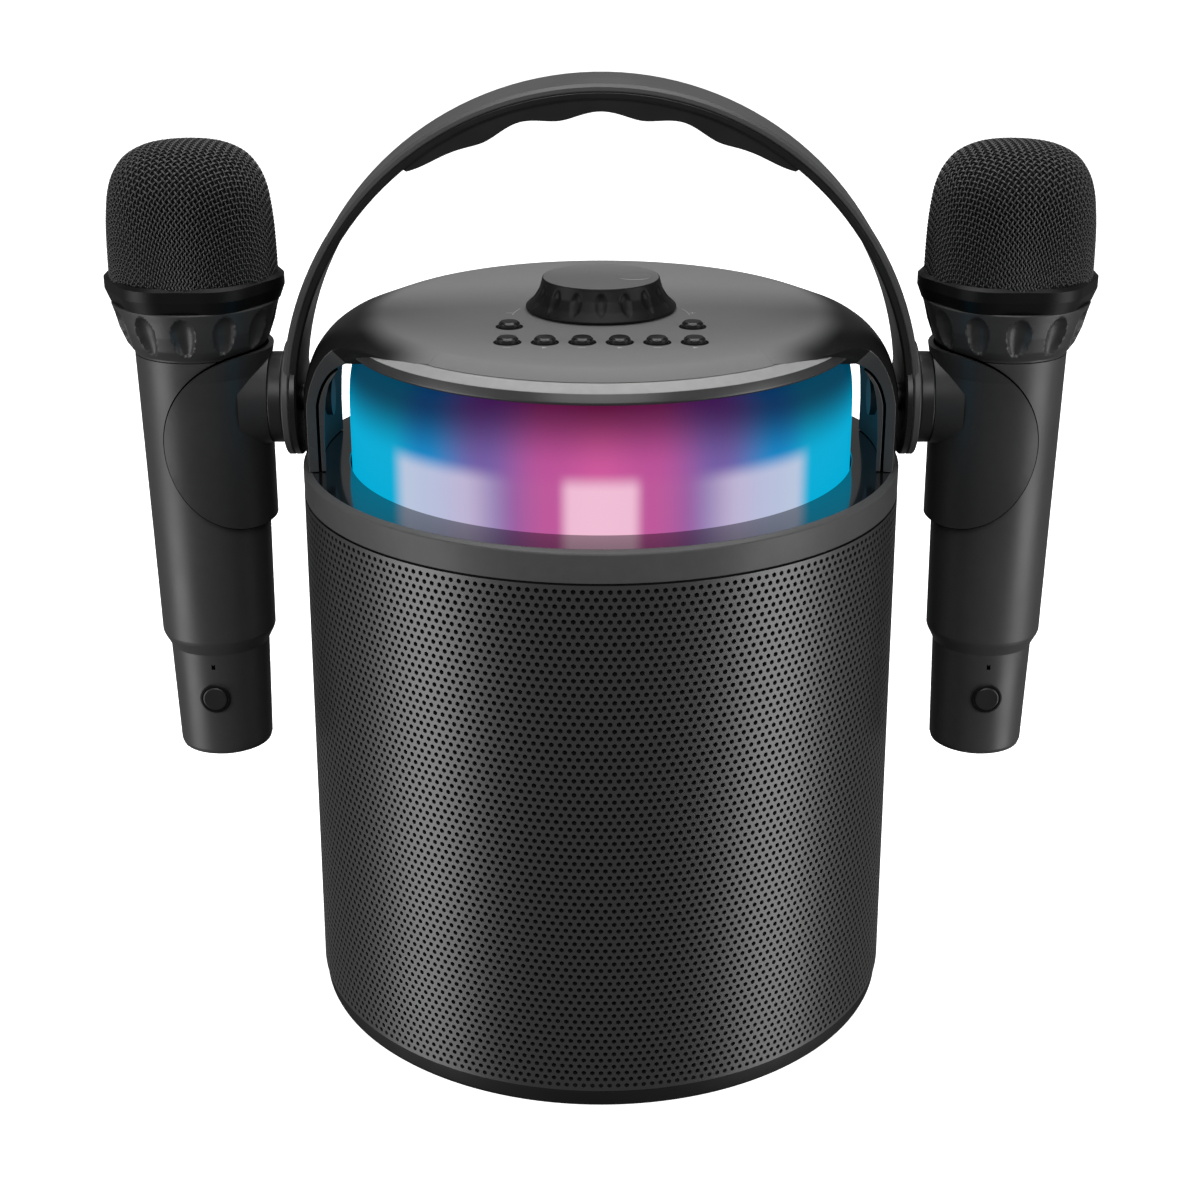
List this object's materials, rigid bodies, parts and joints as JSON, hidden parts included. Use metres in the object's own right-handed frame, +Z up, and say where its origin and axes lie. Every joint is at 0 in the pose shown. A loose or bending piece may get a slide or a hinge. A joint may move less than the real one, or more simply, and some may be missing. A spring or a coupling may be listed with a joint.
{
  "type": "karaoke speaker with two docked microphones",
  "caption": "Round portable karaoke speaker with light drum, volume knob, buttons, folding handle, and wireless microphones docked on swivelling clips at its pivots.",
  "frame": {"origin": "centre of the underside, on the surface it stands on", "axes": "+Z up, -Y towards the front with the push buttons, the two microphones at -X and +X"},
  "size_m": [0.244, 0.1524, 0.2374],
  "materials": {
    "foot_rubber": "matte",
    "inner_plastic": "matte",
    "sleeve_metal": "satin grey paint, perforated",
    "woofer_metal": "satin",
    "woofer_paper": "matte paper pulp",
    "magnet": "dull",
    "cell_wrap": "shrink-wrapped cell",
    "board": "solder mask",
    "socket_metal": "satin",
    "pin_steel": "satin",
    "shoulder_gloss": "polished",
    "light_plastic": "frosted, lit from inside",
    "reflector_white": "matte",
    "led": "lit",
    "cover_plastic": "fine matte",
    "trim_gloss": "satin to polished",
    "lining_gloss": "polished",
    "strap_plastic": "satin",
    "strap_inner": "polished",
    "grip_rubber": "soft matte",
    "knob_plastic": "satin",
    "button_gloss": "polished",
    "clip_plastic": "satin",
    "mic_body": "satin black anodised",
    "mic_plastic": "satin black",
    "mic_ring": "satin",
    "mic_mesh": "woven wire, black",
    "foam": "open-cell foam",
    "capsule_metal": "satin"
  },
  "bodies": {
    "speaker": {"base_rim": "foot_rubber", "base_tray": "inner_plastic", "base_screws": "pin_steel", "speaker_grille": "sleeve_metal", "cabinet": "inner_plastic", "woofer_frame": "woofer_metal", "woofer_cone": "woofer_paper", "woofer_magnet": "magnet", "speaker_cells": "cell_wrap", "main_board": "board", "port_panel": "inner_plastic", "port_sockets": "socket_metal", "shoulder_ring": "shoulder_gloss", "light_diffuser": "light_plastic", "reflector_core": "reflector_white", "led_ring_board": "board", "led_chips": "led", "trim_ring": "trim_gloss", "top_cover": "cover_plastic", "left_arm_lining": "lining_gloss", "right_arm_lining": "lining_gloss", "pivot_pins": "pin_steel", "control_board": "board", "control_switches": "inner_plastic"},
    "volume_knob": {"volume_knob": "knob_plastic"},
    "button_1": {"push_button_1": "button_gloss"},
    "button_2": {"push_button_2": "button_gloss"},
    "button_3": {"push_button_3": "button_gloss"},
    "button_4": {"push_button_4": "button_gloss"},
    "button_5": {"push_button_5": "button_gloss"},
    "button_6": {"push_button_6": "button_gloss"},
    "button_7": {"push_button_7": "button_gloss"},
    "button_8": {"push_button_8": "button_gloss"},
    "handle": {"handle_outer_strap": "strap_plastic", "handle_inner_strap": "strap_inner", "handle_grip": "grip_rubber"},
    "left_holder": {"left_clip_collar": "clip_plastic", "left_mic_clip": "clip_plastic"},
    "left_microphone": {"left_mic_lower_sleeve": "mic_body", "left_mic_main_tube": "mic_body", "left_mic_fluted_collar": "mic_plastic", "left_mic_ring": "mic_ring", "left_mic_grille": "mic_mesh", "left_mic_foam": "foam", "left_mic_capsule": "capsule_metal", "left_mic_cell": "cell_wrap", "left_mic_circuit_board": "board"},
    "left_mic_button": {"left_mic_power_button": "button_gloss"},
    "right_holder": {"right_clip_collar": "clip_plastic", "right_mic_clip": "clip_plastic"},
    "right_microphone": {"right_mic_lower_sleeve": "mic_body", "right_mic_main_tube": "mic_body", "right_mic_fluted_collar": "mic_plastic", "right_mic_ring": "mic_ring", "right_mic_grille": "mic_mesh", "right_mic_foam": "foam", "right_mic_capsule": "capsule_metal", "right_mic_cell": "cell_wrap", "right_mic_circuit_board": "board"},
    "right_mic_button": {"right_mic_power_button": "button_gloss"}
  },
  "joints": [
    {"name": "handle_fold", "type": "hinge", "parent": "speaker", "child": "handle", "pos_m": [0, 0, 0.159], "axis": [1, 0, 0], "range_deg": [-90, 90]},
    {"name": "volume_turn", "type": "hinge", "parent": "speaker", "child": "volume_knob", "pos_m": [0, 0, 0.185], "axis": [0, 0, -1], "range_deg": [-150, 150]},
    {"name": "button_1_press", "type": "slide", "parent": "speaker", "child": "button_1", "axis": [0, 0, -1], "range_m": [0, 0.0005], "stiffness_N_per_m": 500, "springref_m": -0.0006},
    {"name": "button_2_press", "type": "slide", "parent": "speaker", "child": "button_2", "axis": [0, 0, -1], "range_m": [0, 0.0005], "stiffness_N_per_m": 500, "springref_m": -0.0006},
    {"name": "button_3_press", "type": "slide", "parent": "speaker", "child": "button_3", "axis": [0, 0, -1], "range_m": [0, 0.0005], "stiffness_N_per_m": 500, "springref_m": -0.0006},
    {"name": "button_4_press", "type": "slide", "parent": "speaker", "child": "button_4", "axis": [0, 0, -1], "range_m": [0, 0.0005], "stiffness_N_per_m": 500, "springref_m": -0.0006},
    {"name": "button_5_press", "type": "slide", "parent": "speaker", "child": "button_5", "axis": [0, 0, -1], "range_m": [0, 0.0005], "stiffness_N_per_m": 500, "springref_m": -0.0006},
    {"name": "button_6_press", "type": "slide", "parent": "speaker", "child": "button_6", "axis": [0, 0, -1], "range_m": [0, 0.0005], "stiffness_N_per_m": 500, "springref_m": -0.0006},
    {"name": "button_7_press", "type": "slide", "parent": "speaker", "child": "button_7", "axis": [0, 0, -1], "range_m": [0, 0.0005], "stiffness_N_per_m": 500, "springref_m": -0.0006},
    {"name": "button_8_press", "type": "slide", "parent": "speaker", "child": "button_8", "axis": [0, 0, -1], "range_m": [0, 0.0005], "stiffness_N_per_m": 500, "springref_m": -0.0006},
    {"name": "left_holder_swing", "type": "hinge", "parent": "speaker", "child": "left_holder", "pos_m": [-0.08, 0, 0.159], "axis": [1, 0, 0], "range_deg": [-90, 90]},
    {"name": "left_mic_lift", "type": "slide", "parent": "left_holder", "child": "left_microphone", "axis": [0, 0, 1], "range_m": [0, 0.115]},
    {"name": "left_mic_button_press", "type": "slide", "parent": "left_microphone", "child": "left_mic_button", "axis": [0, 1, 0], "range_m": [0, 0.0006], "stiffness_N_per_m": 500, "springref_m": -0.0006},
    {"name": "right_holder_swing", "type": "hinge", "parent": "speaker", "child": "right_holder", "pos_m": [0.08, 0, 0.159], "axis": [1, 0, 0], "range_deg": [-90, 90]},
    {"name": "right_mic_lift", "type": "slide", "parent": "right_holder", "child": "right_microphone", "axis": [0, 0, 1], "range_m": [0, 0.115]},
    {"name": "right_mic_button_press", "type": "slide", "parent": "right_microphone", "child": "right_mic_button", "axis": [0, 1, 0], "range_m": [0, 0.0006], "stiffness_N_per_m": 500, "springref_m": -0.0006}
  ]
}
